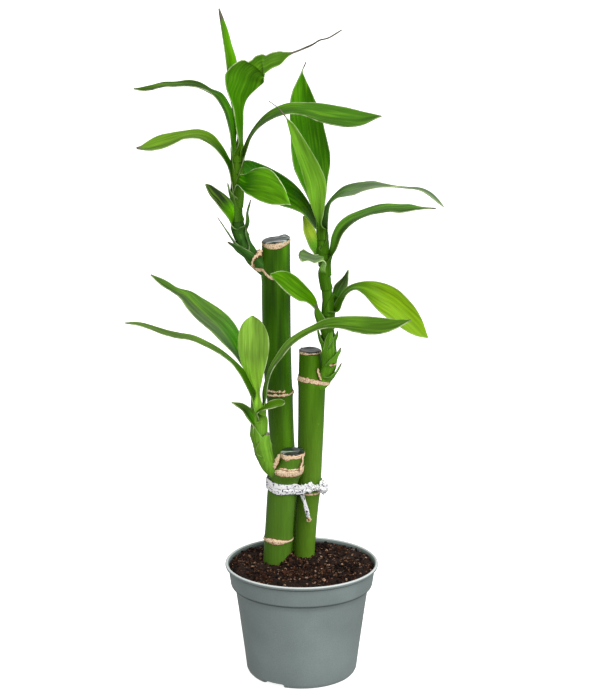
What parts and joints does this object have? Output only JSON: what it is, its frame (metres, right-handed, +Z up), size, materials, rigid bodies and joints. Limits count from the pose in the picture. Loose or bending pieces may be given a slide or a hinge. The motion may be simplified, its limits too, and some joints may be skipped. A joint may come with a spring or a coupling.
{
  "type": "potted lucky bamboo",
  "caption": "Lucky bamboo in a small round nursery pot: green jointed canes bound with a foil tie, each with a leafy shoot, standing in dark soil.",
  "frame": {"origin": "middle of the flat underside of the pot", "axes": "+Z up along the pot's axis, +X to the side that the middle cane's leaves reach, -Y towards the short cane at the front"},
  "size_m": [0.1785, 0.0935, 0.3884],
  "materials": {
    "pot": "satin moulded polypropylene, grey-green",
    "soil": "loose dark peat with lighter fibres",
    "cane_tall": "smooth waxy skin, deep green with tan leaf scars",
    "cane_middle": "smooth waxy skin, mid green with tan leaf scars",
    "cane_short": "smooth waxy skin, mid green with tan leaf scars",
    "wax": "dark grey-green sealing wax",
    "foil": "crumpled bright foil",
    "stem": "smooth fresh green with pale sheath edges",
    "leaf": "glossy green blades with fine lengthwise veins and pale margins"
  },
  "bodies": {
    "root": {"pot": "pot", "soil": "soil", "cane_tall": "cane_tall", "wax_tall": "wax", "cane_middle": "cane_middle", "wax_middle": "wax", "cane_short": "cane_short", "wax_short": "wax", "foil_tie": "foil", "shoot_tall": "stem", "shoot_middle": "stem", "shoot_short": "stem", "leaf_tall_7": "leaf", "leaf_tall_6": "leaf", "leaf_tall_5": "leaf", "leaf_tall_4": "leaf", "leaf_tall_3": "leaf", "leaf_tall_2": "leaf", "leaf_tall_1": "leaf", "leaf_middle_10": "leaf", "leaf_middle_9": "leaf", "leaf_middle_8": "leaf", "leaf_middle_7": "leaf", "leaf_middle_6": "leaf", "leaf_middle_5": "leaf", "leaf_middle_4": "leaf", "leaf_middle_3": "leaf", "leaf_middle_2": "leaf", "leaf_middle_1": "leaf", "leaf_short_6": "leaf", "leaf_short_5": "leaf", "leaf_short_4": "leaf", "leaf_short_3": "leaf", "leaf_short_2": "leaf", "leaf_short_1": "leaf"}
  },
  "joints": []
}
